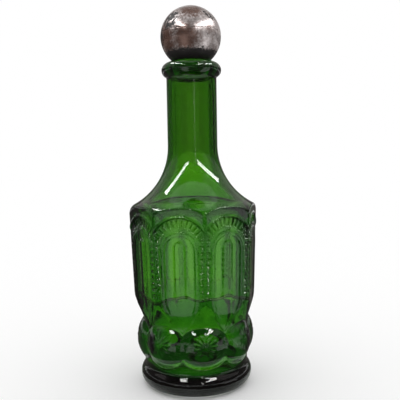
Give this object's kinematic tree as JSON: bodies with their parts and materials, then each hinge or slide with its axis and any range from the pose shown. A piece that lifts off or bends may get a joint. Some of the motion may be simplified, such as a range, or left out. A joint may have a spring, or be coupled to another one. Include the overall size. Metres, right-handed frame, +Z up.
{
  "type": "glass decanter bottle",
  "caption": "Panelled pressed-glass decanter bottle with a long straight neck, a ring lip and a silvered ball stopper plugged into its mouth.",
  "frame": {"origin": "centre of the foot's underside, on the surface the bottle stands on", "axes": "+Z up along the bottle's axis; one flat panel faces -Y, the front"},
  "size_m": [0.0804, 0.0804, 0.2486],
  "materials": {
    "green_glass": "clear green pressed glass",
    "silvered": "worn silver plating on plastic",
    "plug_plastic": "translucent soft plastic"
  },
  "bodies": {
    "root": {"bottle": "green_glass", "bottle_neck": "green_glass", "cap_lower": "silvered", "cap_upper": "silvered", "stopper_plug": "plug_plastic"}
  },
  "joints": []
}
